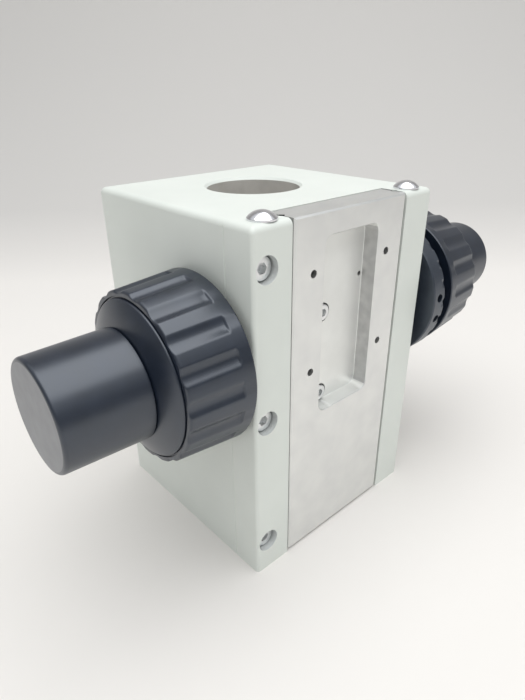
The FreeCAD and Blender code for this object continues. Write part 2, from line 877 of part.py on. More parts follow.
def make_coarse_knob(rim_x, side):
    seat_u = coarse_width - cover_seat_depth
    profile = [
        (0, coarse_bore_radius, 0),
        (0, coarse_rim_radius, coarse_rim_round),
        (coarse_rim_band, coarse_rim_radius - (coarse_rim_radius - coarse_end_radius)
         * coarse_rim_band / coarse_width, 0),
        (coarse_width, coarse_end_radius, coarse_end_round),
        (coarse_width, cover_seat_radius, 0),
        (seat_u, cover_seat_radius, 0),
        (seat_u, coarse_bore_radius, 0),
    ]
    shape = turned([(rim_x + side * u, radius, rounding) for u, radius, rounding in profile])
    return shape.cut(flute_cutters(rim_x, side))


def cover_profile(inner_radius):
    # From the cup side outwards: spigot, seat flange, groove, raised rim and cone.
    seat_u = coarse_width - cover_seat_depth
    groove_u = coarse_width - cover_groove_depth
    lip_u = coarse_width + cover_lip_rise
    end_u = coarse_width + cover_rise
    return [
        (cup_depth, inner_radius, 0),
        (cup_depth, coarse_bore_radius - seat_gap, 0),
        (seat_u, coarse_bore_radius - seat_gap, 0),
        (seat_u, cover_seat_radius - seat_gap, 0),
        (groove_u, cover_seat_radius - seat_gap, 0),
        (groove_u, cover_rim_radius, 0),
        (lip_u, cover_rim_radius, cover_rim_round),
        (end_u, cover_cone_radius, 0),
        (end_u, inner_radius, 0),
    ]


def stud_centre(x):
    return vec(x, axis_y, axis_z + gear_centres)


def make_left_cover():
    profile = cover_profile(cover_bush_radius + seat_gap)
    shape = turned([(left_rim_x - u, radius, rounding) for u, radius, rounding in profile])
    hole_end = left_cup_x - stud_seat_depth
    hole = rod(stud_radius + seat_gap, stud_centre(left_cup_x + overrun), stud_centre(hole_end))
    return shape.cut(hole)


def make_right_cover():
    # The right cover has a long hub that is clamped on the sleeve.
    profile = cover_profile(sleeve_radius + seat_gap)
    shape = turned([(right_rim_x + u, radius, rounding) for u, radius, rounding in profile])
    start = spring_ends()[1] + 2 * stack_gap + washer_thickness
    hub = tube(hub_radius, sleeve_radius + seat_gap, start, right_cup_x)
    screw_x = right_rim_x + hub_set_screw_inset
    outer = around(coarse_bore_radius, hub_screw_angle, screw_x)
    hole = rod(hub_set_screw_radius + thread_gap, around(0, 0, screw_x), outer)
    return shape.fuse(hub).cut(hole)


def make_right_coarse_knob():
    # The fluted ring, with a plain hole at the back for the key of the hub's set screw.
    screw_x = right_rim_x + hub_set_screw_inset
    outer = around(coarse_rim_radius + overrun, hub_screw_angle, screw_x)
    hole = rod(hub_set_screw_radius, around(hub_radius, hub_screw_angle, screw_x), outer)
    return make_coarse_knob(right_rim_x, 1).cut(hole)


def make_hub_set_screw():
    screw_x = right_rim_x + hub_set_screw_inset
    mouth = around(sleeve_radius + seat_gap + hub_set_screw_length, hub_screw_angle, screw_x)
    inward = around(0, 0, screw_x) - mouth
    inward.normalize()
    return set_screw(mouth, inward, hub_set_screw_radius, hub_set_screw_length, fine_set_screw_hex)


def make_cover_bush():
    # The bush in the left cover that runs on the fine shaft.
    start = left_cup_x
    return tube(cover_bush_radius, fine_shaft_radius + running_gap, start - cover_bush_length, start)


def fine_root_x(side):
    rim_x = left_rim_x if side < 0 else right_rim_x
    return rim_x + side * (coarse_width + cover_rise + fine_knob_gap)


def make_fine_knob(side):
    root_x = fine_root_x(side)
    end_x = root_x + side * fine_knob_length
    bore_x = root_x + side * fine_bore_depth
    inner = fine_shaft_radius + seat_gap
    profile = [
        (root_x, inner, 0),
        (root_x, fine_root_radius, fine_root_round),
        (end_x, fine_end_radius, fine_end_round),
        (end_x, 0, 0),
        (bore_x, 0, 0),
        (bore_x, inner, 0),
    ]
    screw_x = root_x + side * fine_set_screw_inset
    outer = around(fine_root_radius + overrun, 0, screw_x)
    hole = rod(fine_set_screw_radius + thread_gap, around(0, 0, screw_x), outer)
    return turned(profile).cut(hole)


def make_fine_set_screws():
    screws = []
    for side in (-1, 1):
        screw_x = fine_root_x(side) + side * fine_set_screw_inset
        mouth = around(fine_shaft_radius + seat_gap + fine_set_screw_length, 0, screw_x)
        screws.append(set_screw(
            mouth, vec(0, -1, 0), fine_set_screw_radius, fine_set_screw_length, fine_set_screw_hex))
    return Part.makeCompound(screws)


def make_fine_shaft():
    # The shaft through the sleeve, with its pinion beyond the sleeve's left end.
    left_end = fine_root_x(-1) - fine_bore_depth + thread_gap
    right_end = fine_root_x(1) + fine_bore_depth - thread_gap
    pinion = gear(small_gear_teeth, quarter_turn, fine_gear_x, fine_gear_x + gear_width, axis_y, axis_z)
    return axle(fine_shaft_radius, left_end, right_end).fuse(pinion)


def make_planet_gear():
    # One compound gear: the large gear meets the shaft's pinion, the small one the sleeve gear.
    centre_z = axis_z + gear_centres
    large_angle = -quarter_turn + half_turn / large_gear_teeth
    large = gear(large_gear_teeth, large_angle, fine_gear_x, fine_gear_x + gear_width, axis_y, centre_z)
    small = gear(small_gear_teeth, -quarter_turn, sleeve_gear_x, sleeve_gear_x + gear_width, axis_y, centre_z)
    hub = rod(gear_hub_radius, stud_centre(fine_gear_x), stud_centre(sleeve_gear_x + gear_width))
    bore = rod(
        stud_radius + running_gap, stud_centre(fine_gear_x - overrun),
        stud_centre(sleeve_gear_x + gear_width + overrun))
    return hub.fuse([large, small]).cut(bore)


def make_sleeve_gear():
    # The output gear of the reduction, with a short hub towards the block.
    sleeve_angle = quarter_turn + half_turn / large_gear_teeth
    end = sleeve_gear_x + gear_width
    teeth = gear(large_gear_teeth, sleeve_angle, sleeve_gear_x, end, axis_y, axis_z)
    hub = axle(sleeve_gear_hub_radius, sleeve_gear_x, end + sleeve_gear_hub_length)
    bore = axle(sleeve_radius + running_gap, sleeve_gear_x - overrun, end + sleeve_gear_hub_length + overrun)
    return teeth.fuse(hub).cut(bore)


def make_planet_stud():
    end = sleeve_gear_x + gear_width + running_gap
    head = rod(stud_head_radius, stud_centre(end), stud_centre(end + stud_head_height))
    return head.fuse(rod(stud_radius, stud_centre(left_cup_x - stud_seat_depth + seat_gap), stud_centre(end)))


def make_clamp_screws():
    screws = []
    for place in clamp_places():
        tip_y = bore_radius + clamp_pad_back_off + clamp_pad_length
        mouth = vec(place.x, tip_y + clamp_screw_length, place.z)
        screws.append(set_screw(mouth, vec(0, -1, 0), clamp_screw_radius, clamp_screw_length, clamp_screw_hex))
    return Part.makeCompound(screws)


def make_clamp_pads():
    pads = []
    for place in clamp_places():
        start = bore_radius + clamp_pad_back_off
        end = start + clamp_pad_length
        pads.append(rod(clamp_pad_radius, vec(place.x, start, place.z), vec(place.x, end, place.z)))
    return Part.makeCompound(pads)


nodes = {
    "housing": make_housing(),
    "left_guide_bar": make_left_guide_bar(),
    "guide_bar_screws": make_guide_bar_screws(),
    "guide_end_screws": Part.makeCompound(both_sides(make_end_screw)),
    "cage_stop_pins": make_cage_stop_pins(),
    "pole_clamp_screws": make_clamp_screws(),
    "pole_clamp_pads": make_clamp_pads(),
    "left_bearing_bush": make_left_bush(),
    "right_bearing_bush": make_right_bush(),
    "bush_flange_screws": make_flange_screws(),
    "friction_washer": make_friction_washer(),
    "tension_springs": make_tension_springs(),
    "slide_plate": make_slide_plate(),
    "rack": make_rack(),
    "rack_screws": make_rack_screws(),
    "left_roller_cage": make_cage(-1),
    "left_rollers": make_rollers(-1),
    "right_roller_cage": make_cage(1),
    "right_rollers": make_rollers(1),
    "coarse_pinion_sleeve": make_coarse_sleeve(),
    "sleeve_clip": make_sleeve_clip(),
    "thrust_washer": make_thrust_washer(),
    "left_coarse_knob": make_coarse_knob(left_rim_x, -1),
    "left_coarse_cover": make_left_cover(),
    "left_cover_bush": make_cover_bush(),
    "planet_stud": make_planet_stud(),
    "right_coarse_knob": make_right_coarse_knob(),
    "right_coarse_cover": make_right_cover(),
    "right_hub_set_screw": make_hub_set_screw(),
    "fine_shaft": make_fine_shaft(),
    "left_fine_knob": make_fine_knob(-1),
    "right_fine_knob": make_fine_knob(1),
    "fine_knob_set_screws": make_fine_set_screws(),
    "planet_gear": make_planet_gear(),
    "sleeve_gear": make_sleeve_gear(),
    "tension_ring": make_tension_ring(),
    "ring_lock_screw": make_ring_lock_screw(),
}

os.makedirs("parts", exist_ok=True)
for name, shape in nodes.items():
    if not shape.isValid():
        print(name, "is not a valid shape")
    shape.exportStep(os.path.join("parts", name + ".step"))
print(len(nodes), "pieces written")
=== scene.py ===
import bpy, bmesh, json, math
from mathutils import Matrix, Vector


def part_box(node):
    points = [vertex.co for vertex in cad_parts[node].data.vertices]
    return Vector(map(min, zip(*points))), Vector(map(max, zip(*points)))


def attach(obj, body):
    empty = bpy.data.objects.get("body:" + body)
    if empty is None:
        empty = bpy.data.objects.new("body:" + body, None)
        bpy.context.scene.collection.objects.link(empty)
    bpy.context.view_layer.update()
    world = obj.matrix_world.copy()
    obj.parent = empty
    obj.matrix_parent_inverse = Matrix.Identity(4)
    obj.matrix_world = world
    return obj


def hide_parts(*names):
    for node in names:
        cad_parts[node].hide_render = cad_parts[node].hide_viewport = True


# Coarse and fine focus block on a pole bore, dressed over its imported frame.
# Everything is in metres in the frame's own axes: the slide faces -Y and +X is the tension ring's side.

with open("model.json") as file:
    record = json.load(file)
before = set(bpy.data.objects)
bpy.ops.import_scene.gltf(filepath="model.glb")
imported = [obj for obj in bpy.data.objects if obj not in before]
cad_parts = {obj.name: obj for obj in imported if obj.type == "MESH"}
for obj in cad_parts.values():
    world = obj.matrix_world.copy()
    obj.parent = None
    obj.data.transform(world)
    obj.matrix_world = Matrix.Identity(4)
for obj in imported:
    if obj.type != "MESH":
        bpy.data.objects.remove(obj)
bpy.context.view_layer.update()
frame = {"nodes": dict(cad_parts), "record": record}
nodes = frame["nodes"]
mm = 0.001
degree = math.radians(1)
fullTurn = math.radians(360)

sleeveLow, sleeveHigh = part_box("coarse_pinion_sleeve")
knobAxis = (sleeveLow + sleeveHigh) / 2
knobAxis.x = 0
print("frame loaded:", len(nodes), "nodes, knob axis", [round(c / mm, 2) for c in knobAxis])


# finishes

def toLinear(hexColour):
    channels = [int(hexColour[i:i + 2], 16) / 255 for i in (1, 3, 5)]
    linear = [c / 12.92 if c <= 0.04045 else ((c + 0.055) / 1.055) ** 2.4 for c in channels]
    return (*linear, 1.0)


def addNode(tree, kind, settings=None, links=None):
    node = tree.nodes.new(kind)
    for key, value in (settings or {}).items():
        if isinstance(key, int) or key in node.inputs:
            node.inputs[key].default_value = value
        else:
            setattr(node, key, value)
    for key, source in (links or {}).items():
        tree.links.new(source, node.inputs[key])
    return node


def newFinish(name, settings):
    # the shader that every finish starts from, with constant values on its own sockets
    material = bpy.data.materials.new(name)
    material.use_nodes = True
    tree = material.node_tree
    tree.nodes.clear()
    output = addNode(tree, "ShaderNodeOutputMaterial")
    shader = addNode(tree, "ShaderNodeBsdfPrincipled", settings)
    tree.links.new(shader.outputs["BSDF"], output.inputs["Surface"])
    place = addNode(tree, "ShaderNodeTexCoord")
    return material, tree, shader, place.outputs["Object"]


def blend(tree, factor, first, second, start=0.3, end=0.7):
    # colour between two hex tones by a pattern
    ramp = addNode(tree, "ShaderNodeValToRGB", links={"Fac": factor})
    for element, position, tone in zip(ramp.color_ramp.elements, (start, end), (first, second)):
        element.position = position
        element.color = toLinear(tone)
    return ramp.outputs["Color"]


def span(tree, factor, low, high):
    limits = {"To Min": low, "To Max": high}
    return addNode(tree, "ShaderNodeMapRange", limits, {"Value": factor}).outputs["Result"]


def grain(tree, place, sizeMm, detail=2.0):
    # soft noise whose blotches are about sizeMm across
    settings = {"Scale": 1 / (sizeMm * mm), "Detail": detail}
    return addNode(tree, "ShaderNodeTexNoise", settings, {"Vector": place}).outputs["Fac"]


def relief(tree, shader, height, depthMm, strength=1.0):
    bump = addNode(tree, "ShaderNodeBump", {"Distance": depthMm * mm, "Strength": strength}, {"Height": height})
    tree.links.new(bump.outputs["Normal"], shader.inputs["Normal"])


def turningLines(tree, place, pitchMm, centre, kind, direction):
    # lines left by a cutting tool, one feed apart: a wave texture repeats every pi / (10 x scale)
    moved = addNode(tree, "ShaderNodeMapping", {"Location": [-c for c in centre]}, {"Vector": place})
    settings = {"wave_type": kind, "Scale": math.pi / (10 * pitchMm * mm), "Distortion": 0.0}
    settings["rings_direction" if kind == "RINGS" else "bands_direction"] = direction
    return addNode(tree, "ShaderNodeTexWave", settings, {"Vector": moved.outputs["Vector"]}).outputs["Fac"]


def enamelledBlock():
    # baked satin enamel on a cast block: pale, faintly green, with a fine orange peel
    look = {"hex": ("#dde2dc", "#e2e7e1"), "patchMm": 22, "peelMm": 0.7, "peelDepthMm": 0.006}
    material, tree, shader, place = newFinish("satinEnamel", {"Roughness": 0.42, "IOR": 1.5})
    tree.links.new(blend(tree, grain(tree, place, look["patchMm"]), *look["hex"]), shader.inputs["Base Color"])
    relief(tree, shader, grain(tree, place, look["peelMm"]), look["peelDepthMm"])
    return material


def blastedAluminium(name, hexPair, metallic, roughness):
    # bead-blasted and clear anodised plate: it takes up the tone of floor and wall, very softly
    look = {"patchMm": 9, "gritMm": 0.3, "gritDepthMm": 0.004}
    material, tree, shader, place = newFinish(name, {"Metallic": metallic, "Roughness": roughness})
    tree.links.new(blend(tree, grain(tree, place, look["patchMm"]), *hexPair), shader.inputs["Base Color"])
    relief(tree, shader, grain(tree, place, look["gritMm"]), look["gritDepthMm"])
    return material


def boredMetal(name, hexPair, direction):
    # bored wall of a hole: bare grey metal, dull, with the tool's fine rings down the hole
    look = {"feedMm": 0.5, "patchMm": 6, "ringDepthMm": 0.004}
    material, tree, shader, place = newFinish(name, {"Metallic": 0.2, "Roughness": 0.5})
    lines = turningLines(tree, place, look["feedMm"], (0, 0, 0), "BANDS", direction)
    tree.links.new(blend(tree, grain(tree, place, look["patchMm"]), *hexPair), shader.inputs["Base Color"])
    relief(tree, shader, lines, look["ringDepthMm"], 0.5)
    return material


def milledAluminium():
    # milled sides of the pocket and the land behind the slide: bare, with cutter marks across the travel
    look = {"hex": ("#c0c0c0", "#d4d4d3"), "feedMm": 0.8, "patchMm": 4, "markDepthMm": 0.004}
    material, tree, shader, place = newFinish("milledAluminium", {"Metallic": 0.9, "Roughness": 0.5})
    lines = turningLines(tree, place, look["feedMm"], (0, 0, 0), "BANDS", "Z")
    tree.links.new(blend(tree, grain(tree, place, look["patchMm"]), *look["hex"]), shader.inputs["Base Color"])
    relief(tree, shader, lines, look["markDepthMm"], 0.4)
    return material


def satinKnob(name, hexPair, roughness):
    # dyed hard-anodised aluminium: blue-black satin with a very fine blasted grain
    look = {"patchMm": 5, "roughSpread": 0.03, "gritMm": 0.22, "gritDepthMm": 0.003}
    material, tree, shader, place = newFinish(name, {"IOR": 1.9, "Specular Tint": toLinear("#e6ecf4")})
    tree.links.new(blend(tree, grain(tree, place, look["patchMm"]), *hexPair), shader.inputs["Base Color"])
    low, high = roughness - look["roughSpread"], roughness + look["roughSpread"]
    rough = span(tree, grain(tree, place, look["patchMm"]), low, high)
    tree.links.new(rough, shader.inputs["Roughness"])
    relief(tree, shader, grain(tree, place, look["gritMm"]), look["gritDepthMm"])
    return material


def paintedReflectionEnd():
    # end of the fine knob: a paler, metallic copy of the knob's finish over a lathe's fine rings, as painted
    # reflection for the bright glancing sheen on the end face
    look = {"hex": ("#84868a", "#8c8e92"), "feedMm": 0.35, "patchMm": 4, "ringDepthMm": 0.002}
    material, tree, shader, place = newFinish("knobEndPaintedReflection", {"Metallic": 0.8, "Roughness": 0.42})
    lines = turningLines(tree, place, look["feedMm"], knobAxis, "RINGS", "X")
    tree.links.new(blend(tree, grain(tree, place, look["patchMm"]), *look["hex"]), shader.inputs["Base Color"])
    relief(tree, shader, lines, look["ringDepthMm"], 0.3)
    return material


def plainMetal(name, hexPair, roughness, patchMm=1.5):
    # a bare or plated metal with small shifts of tone and gloss from handling
    look = {"roughSpread": 0.05, "gritPerPatch": 5, "gritDepthMm": 0.002}
    material, tree, shader, place = newFinish(name, {"Metallic": 1.0})
    pattern = grain(tree, place, patchMm)
    low, high = roughness - look["roughSpread"], roughness + look["roughSpread"]
    tree.links.new(blend(tree, pattern, *hexPair), shader.inputs["Base Color"])
    tree.links.new(span(tree, pattern, low, high), shader.inputs["Roughness"])
    relief(tree, shader, grain(tree, place, patchMm / look["gritPerPatch"]), look["gritDepthMm"])
    return material


finishes = {
    "body_paint": enamelledBlock(),
    "slide_aluminium": blastedAluminium("blastedAluminium", ("#dcdddc", "#e4e5e3"), 0.9, 0.36),
    "knob_anodised": satinKnob("blackAnodisedKnob", ("#141b27", "#1a2230"), 0.3),
    "ring_anodised": satinKnob("blackAnodisedRing", ("#212833", "#28303c"), 0.36),
    "screw_steel": plainMetal("zincPlatedScrew", ("#dfe1e1", "#eaebeb"), 0.34),
    "dome_chrome": plainMetal("polishedChrome", ("#dcdce0", "#e6e6ea"), 0.2, 3),
    "black_steel": plainMetal("blackOxideSteel", ("#1c1c1e", "#28282a"), 0.4),
    "bright_steel": plainMetal("groundSteel", ("#9c9ea0", "#b4b6b8"), 0.25),
    "spring_steel": plainMetal("blueGreySpringSteel", ("#3c3e42", "#4c4e52"), 0.35),
    "bush_steel": plainMetal("phosphatedSteel", ("#2b2c2f", "#36383b"), 0.45),
    "bush_brass": plainMetal("turnedBrass", ("#a8853f", "#bd9a50"), 0.3),
    "washer_acetal": satinKnob("blackAcetal", ("#121214", "#1a1a1c"), 0.5),
}
boreFinish = boredMetal("boredPoleHole", ("#c9c6c0", "#d6d3cd"), "Z")
counterboreFinish = boredMetal("boredScrewHole", ("#cfd3d2", "#dadddc"), "Y")
milledFinish = milledAluminium()
pocketPaintedFill = blastedAluminium("blastedPocketPaintedLight", ("#eaebe8", "#f1f2ef"), 0.6, 0.45)  # duller inside the pocket, and paler as painted light to make up for the shade of the pocket's walls
# dark steel on the V ways: painted shade for the deep, narrow grooves, where real rails would be bright
railPaintedShade = plainMetal("railDarkPaintedShade", ("#3a3a3c", "#48484a"), 0.4)
# the paler end finish is a painted reflection on the fine knobs' flat ends
endPaintedReflection = paintedReflectionEnd()
print("finishes made:", len(bpy.data.materials))


# making and finishing pieces

def axisPoint(x, radius, angle=0.0):
    # a point round the knob axis; angle zero points to the back of the block
    return Vector((x, knobAxis.y + radius * math.cos(angle), knobAxis.z + radius * math.sin(angle)))


def radiusOf(point):
    return math.hypot(point.y - knobAxis.y, point.z - knobAxis.z)


def angleOf(point):
    return math.atan2(point.z - knobAxis.z, point.y - knobAxis.y)


def turn(bm, profile, steps, startAngle=0.0, closed=False):
    # spins an (x, radius) profile round the knob axis
    verts = [bm.verts.new(axisPoint(x, radius, startAngle)) for x, radius in profile]
    pairs = list(zip(verts, verts[1:])) + ([(verts[-1], verts[0])] if closed else [])
    edges = [bm.edges.new(pair) for pair in pairs]
    bmesh.ops.spin(bm, geom=verts + edges, cent=knobAxis, axis=(1, 0, 0), angle=fullTurn, steps=steps,
                   use_merge=True)
    bmesh.ops.remove_doubles(bm, verts=bm.verts, dist=0.0001 * mm)
    bmesh.ops.recalc_face_normals(bm, faces=bm.faces)


def ringEdges(bm, x, radius, slack=0.02 * mm):
    def onRing(point):
        return abs(point.x - x) < slack and abs(radiusOf(point) - radius) < slack
    return [e for e in bm.edges if all(onRing(v.co) for v in e.verts)]


def roundRing(bm, x, radius, width, segments):
    bmesh.ops.bevel(bm, geom=ringEdges(bm, x, radius), offset=width, offset_type="OFFSET",
                    segments=segments, profile=0.5, affect="EDGES", material=-1, clamp_overlap=True)


drillSettings = {"sides": 32, "patchReach": 1.45, "patchFacing": 0.5, "floorShare": 0.6}


def drillRadial(bm, x, angle, radiusAt, holeRadius, depth):
    # opens a patch of the wall, bridges it to a circle and sinks the circle towards the axis
    s = drillSettings
    outward = Vector((0, math.cos(angle), math.sin(angle)))
    centre = axisPoint(x, radiusAt(x), angle)

    def offLine(point):
        away = point - centre
        return (away - outward * away.dot(outward)).length

    patch = [f for f in bm.faces if f.normal.dot(outward) > s["patchFacing"]
             and offLine(f.calc_center_median()) < holeRadius * s["patchReach"]
             and (f.calc_center_median() - centre).dot(outward) > -2 * holeRadius]
    inside = set(patch)
    border = [e for f in patch for e in f.edges if len([g for g in e.link_faces if g in inside]) == 1]
    bmesh.ops.delete(bm, geom=patch, context="FACES")
    turned = outward.to_track_quat("Z", "X").to_matrix().to_4x4()
    circle = bmesh.ops.create_circle(bm, segments=s["sides"], radius=holeRadius,
                                     matrix=Matrix.Translation(centre) @ turned)
    for vert in circle["verts"]:
        scale = radiusAt(vert.co.x) / radiusOf(vert.co)
        vert.co.y = knobAxis.y + (vert.co.y - knobAxis.y) * scale
        vert.co.z = knobAxis.z + (vert.co.z - knobAxis.z) * scale
    rim = list({e for v in circle["verts"] for e in v.link_edges})
    bmesh.ops.bridge_loops(bm, edges=[e for e in border if e.is_valid] + rim)
    sunk = bmesh.ops.extrude_edge_only(bm, edges=rim)["geom"]
    bmesh.ops.translate(bm, verts=[g for g in sunk if isinstance(g, bmesh.types.BMVert)], vec=-outward * depth)
    floor = -depth * s["floorShare"]
    bmesh.ops.edgenet_fill(bm, edges=[g for g in sunk if isinstance(g, bmesh.types.BMEdge)
                                      and all((v.co - centre).dot(outward) < floor for v in g.verts)])
    bmesh.ops.recalc_face_normals(bm, faces=bm.faces)


def finishPiece(name, bm, body, materials, replaced, bevelMm=0.0, sharpAngle=32):
    # shades by angle, links the piece and seats it on its body in place of the CAD nodes
    for face in bm.faces:
        face.smooth = True
    for edge in bm.edges:
        edge.smooth = not (len(edge.link_faces) == 2 and edge.calc_face_angle(0) > sharpAngle * degree)
    mesh = bpy.data.meshes.new(name)
    bm.to_mesh(mesh)
    bm.free()
    for material in materials:
        mesh.materials.append(material)
    piece = bpy.data.objects.new(name, mesh)
    bpy.context.scene.collection.objects.link(piece)
    if bevelMm:
        bevel = piece.modifiers.new("edgeBreak", "BEVEL")
        bevel.width = bevelMm * mm
        bevel.segments = 2
        bevel.limit_method = "ANGLE"
        bevel.angle_limit = sharpAngle * degree
        bevel.harden_normals = False
    weighted = piece.modifiers.new("flatFacesStayFlat", "WEIGHTED_NORMAL")
    weighted.keep_sharp = True
    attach(piece, body)
    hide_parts(*replaced)
    return piece


def mergedCopy(nodeName):
    # a welded copy of a CAD node's mesh
    bm = bmesh.new()
    bm.from_mesh(nodes[nodeName].data)
    bmesh.ops.remove_doubles(bm, verts=bm.verts, dist=0.0005 * mm)
    return bm


# block, left guide and slide

blockSettings = {"boreSlackMm": 0.25, "counterboreMm": 4.2, "wayDepthMm": 2.0, "landDepthMm": 10.0,
                 "pocketWallMm": 12.7, "pocketDepthMm": 5.6, "pocketTopMm": 7.0, "rimMm": 0.3, "slackMm": 0.1,
                 "wallFacing": 0.85, "edgeFacing": 0.3, "slantLow": 0.5, "slantHigh": 0.9, "level": 0.1}

slideLow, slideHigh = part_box("slide_plate")
wayY = (slideLow.y + slideHigh.y) / 2


def onRail(face):
    # the two slanted faces of a V way beside the slide's edges
    s = blockSettings
    centre = face.calc_center_median()
    beside = abs(abs(centre.x) - slideHigh.x) < s["wayDepthMm"] * mm
    slanted = s["slantLow"] < abs(face.normal.y) < s["slantHigh"] and abs(face.normal.z) < s["level"]
    return beside and slanted and abs(centre.y - wayY) < s["wayDepthMm"] * mm


def dressBlock():
    s = blockSettings
    boreRadius = frame["record"]["mounts"][0]["dims"]["r_mm"] * mm
    bm = mergedCopy("housing")
    for face in bm.faces:
        centre = face.calc_center_median()
        inBore = math.hypot(centre.x, centre.y) < boreRadius + s["boreSlackMm"] * mm
        inWidth = slideLow.x - mm < centre.x < slideHigh.x + mm
        behindSlide = inWidth and centre.y < slideHigh.y + s["landDepthMm"] * mm
        if inBore:
            face.material_index = 1
        # V way faces take the dark rail finish, painted shade for the deep groove
        elif behindSlide and onRail(face):
            face.material_index = 3
        elif behindSlide and centre.y > wayY and abs(face.normal.z) < 0.5 and face.normal.y > -s["slantHigh"]:
            face.material_index = 2
    finishPiece("block", bm, "drive_block",
                [finishes["body_paint"], boreFinish, milledFinish, railPaintedShade], ["housing"])

    # the guide bar's screw holes are bored after painting; its V way gets the dark rail finish, painted shade
    # for the deep groove
    screwLow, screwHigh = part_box("guide_bar_screws")
    screwX = (screwLow.x + screwHigh.x) / 2
    headRadius = (screwHigh.x - screwLow.x) / 2
    screwHeights = (screwLow.z + headRadius, (screwLow.z + screwHigh.z) / 2, screwHigh.z - headRadius)
    bm = mergedCopy("left_guide_bar")
    for face in bm.faces:
        centre = face.calc_center_median()
        offAxis = min(math.hypot(centre.x - screwX, centre.z - z) for z in screwHeights)
        if onRail(face):
            face.material_index = 2
        elif offAxis < s["counterboreMm"] * mm and centre.y > slideLow.y + s["slackMm"] * mm:
            face.material_index = 1
    finishPiece("leftGuide", bm, "drive_block",
                [finishes["body_paint"], counterboreFinish, railPaintedShade], ["left_guide_bar"])


def dressSlide():
    # the plate is blasted in front, and paler in the pocket as painted light, with milled edges and pocket
    # sides, and its V ways dark as painted shade
    s = blockSettings
    pocket = slideHigh.x - s["pocketWallMm"] * mm
    bm = mergedCopy("slide_plate")
    for face in bm.faces:
        centre = face.calc_center_median()
        depth = (centre.y - slideLow.y) / mm
        behindRim = depth > s["rimMm"]
        inHeight = slideLow.z + mm < centre.z < slideHigh.z - s["pocketTopMm"] * mm
        inPocket = inHeight and depth < s["pocketDepthMm"] and abs(centre.x) < pocket + s["slackMm"] * mm
        atEdge = abs(centre.x) > slideHigh.x - s["slackMm"] * mm and abs(face.normal.x) > s["edgeFacing"]
        # V way faces take the dark rail finish, painted shade for the deep groove
        if onRail(face):
            face.material_index = 1
        elif behindRim and inPocket:
            # the pocket floor takes the paler copy of the slide's finish: painted light against the pocket's
            # shade
            face.material_index = 2 if abs(face.normal.x) > s["wallFacing"] else 3
        elif behindRim and atEdge:
            face.material_index = 2
    finishPiece("slidePlate", bm, "slide",
                [finishes["slide_aluminium"], railPaintedShade, milledFinish, pocketPaintedFill], ["slide_plate"])


dressBlock()
dressSlide()
print("block, left guide and slide dressed")


# fine knobs

fineKnobSettings = {"endRadiusMm": 15.9, "endRoundMm": 1.8, "endSegments": 8, "rootRoundMm": 0.3,
                    "rootSegments": 3, "boreMm": 1.82, "boreDepthMm": 18.0, "screwInsetMm": 8.0,
                    "screwHoleMm": 1.55, "screwDepthMm": 8.0, "stations": 22, "steps": 180}


def makeFineKnob(side, name, node):
    s = fineKnobSettings
    low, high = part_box(node)
    rootX, endX = (high.x, low.x) if side < 0 else (low.x, high.x)
    rootRadius = (high.z - low.z) / 2
    endRadius = s["endRadiusMm"] * mm
    bore = s["boreMm"] * mm
    boreX = rootX + side * s["boreDepthMm"] * mm

    def radiusAt(x):
        return rootRadius + (endRadius - rootRadius) * (x - rootX) / (endX - rootX)

    stations = [rootX + (endX - rootX) * k / s["stations"] for k in range(s["stations"] + 1)]
    profile = [(boreX, 0), (boreX, bore), (rootX, bore)] + [(x, radiusAt(x)) for x in stations] + [(endX, 0)]
    bm = bmesh.new()
    turn(bm, profile, s["steps"])
    roundRing(bm, endX, endRadius, s["endRoundMm"] * mm, s["endSegments"])
    roundRing(bm, rootX, rootRadius, s["rootRoundMm"] * mm, s["rootSegments"])
    screwX = rootX + side * s["screwInsetMm"] * mm
    drillRadial(bm, screwX, 0.0, radiusAt, s["screwHoleMm"] * mm, s["screwDepthMm"] * mm)
    faceRadius = endRadius - s["endRoundMm"] * mm
    # the flat end inside its round gets the paler finish, a painted reflection
    for face in bm.faces:
        centre = face.calc_center_median()
        if abs(centre.x - endX) < 0.01 * mm and radiusOf(centre) < faceRadius:
            face.material_index = 1
    finishPiece(name, bm, "fine_drive", [finishes["knob_anodised"], endPaintedReflection], [node])


makeFineKnob(-1, "leftFineKnob", "left_fine_knob")
makeFineKnob(1, "rightFineKnob", "right_fine_knob")
print("fine knobs turned")


# coarse knobs: fluted rings and their conical covers

gripSettings = {"rimMm": 27.3, "rimRoundMm": 0.5, "rimSegments": 3, "endMm": 25.6, "endRoundMm": 0.7,
                "endSegments": 4, "bandMm": 3.6, "boreMm": 22.3, "seatMm": 24.0, "seatDepthMm": 4.0,
                "seatWallMm": 0.5, "flutes": 18, "fluteDepthMm": 0.85, "fluteRadiusMm": 3.4,
                "fluteAngle": 177.5, "fluteSteps": 28, "mouthSteps": 7, "mouthRoundMm": 0.9,
                "endWallMm": 0.8, "wallStations": 6,
                "stations": 12, "sharpAngle": 50, "keyHoleInsetMm": 5.0, "keyHoleMm": 1.5,
                "keyHoleDepthMm": 4.5, "keyHoleAngle": 7.5}
coverSettings = {"spigotMm": 22.28, "seatMm": 23.98, "rimMm": 23.45, "rimRoundMm": 0.4, "rimSegments": 4,
                 "coneMm": 16.4, "cupMm": 9.5, "grooveMm": 0.5, "lipRiseMm": 0.5, "leftBoreMm": 3.22,
                 "rightBoreMm": 4.42, "rightHubMm": 8.5, "edgeMm": 0.1, "steps": 180}


def softMin(first, second, width):
    # the smaller of two radii, with the corner between them rounded over a width
    gap = max(width - abs(first - second), 0)
    return min(first, second) - gap * gap / (4 * width)


